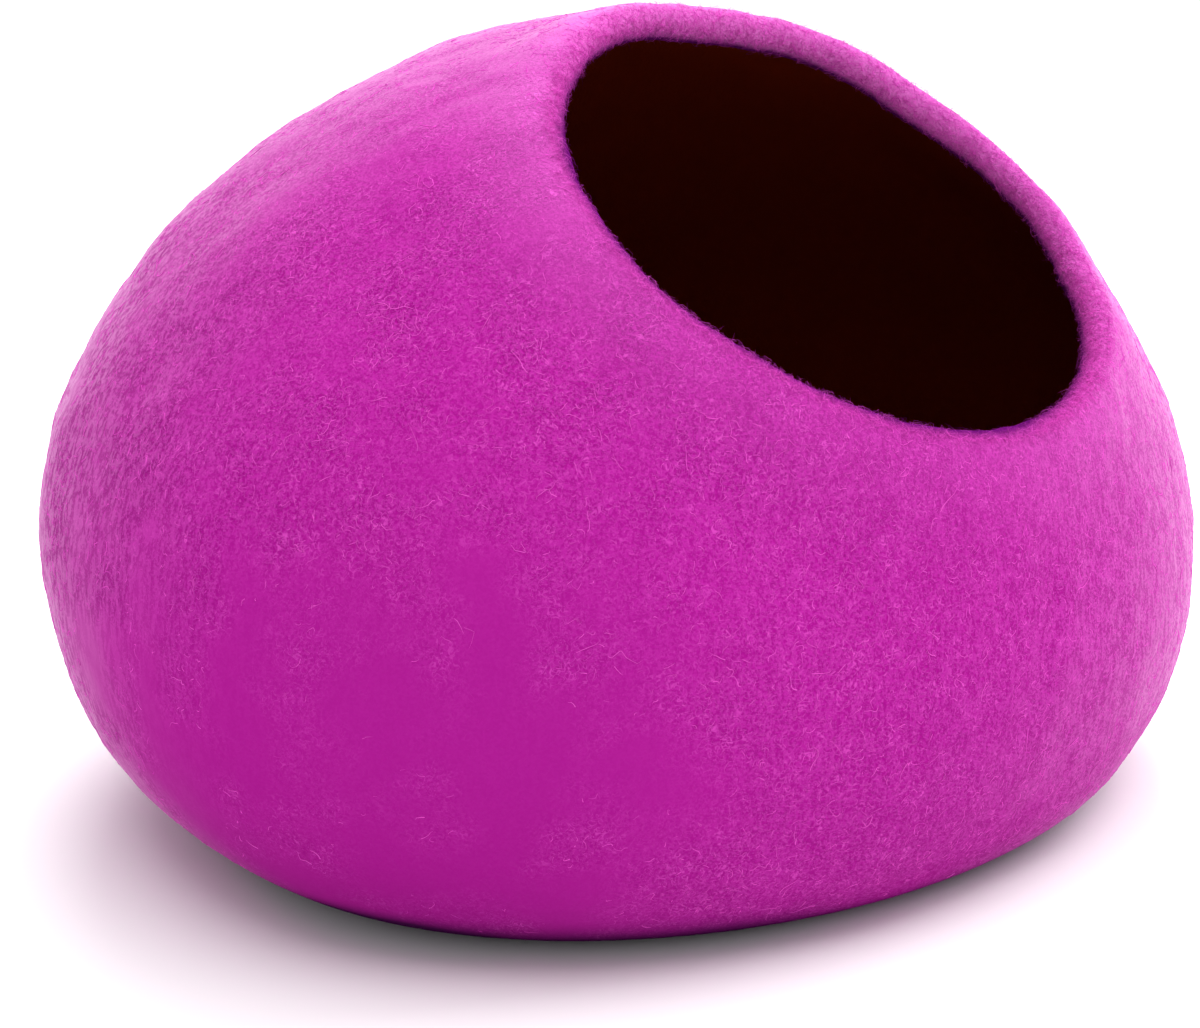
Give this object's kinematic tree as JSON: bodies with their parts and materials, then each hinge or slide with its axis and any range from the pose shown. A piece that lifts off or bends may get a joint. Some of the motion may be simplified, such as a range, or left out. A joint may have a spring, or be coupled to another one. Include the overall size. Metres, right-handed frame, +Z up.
{
  "type": "pet cave bed",
  "caption": "Seamless felt pod for a small pet, standing on a flat base, with a round soft-edged opening that faces up and forward.",
  "frame": {"origin": "the bottom middle of the pod's bounding box, on its flat base", "axes": "+Z up; -Y to the front, where the opening is; +X to the pod's left-hand side as it faces forward, along its widest extent"},
  "size_m": [0.4996, 0.4421, 0.3159],
  "materials": {
    "felt": "matte wet-felted wool with short fibres on its surface"
  },
  "bodies": {
    "root": {"felt_shell": "felt"}
  },
  "joints": []
}
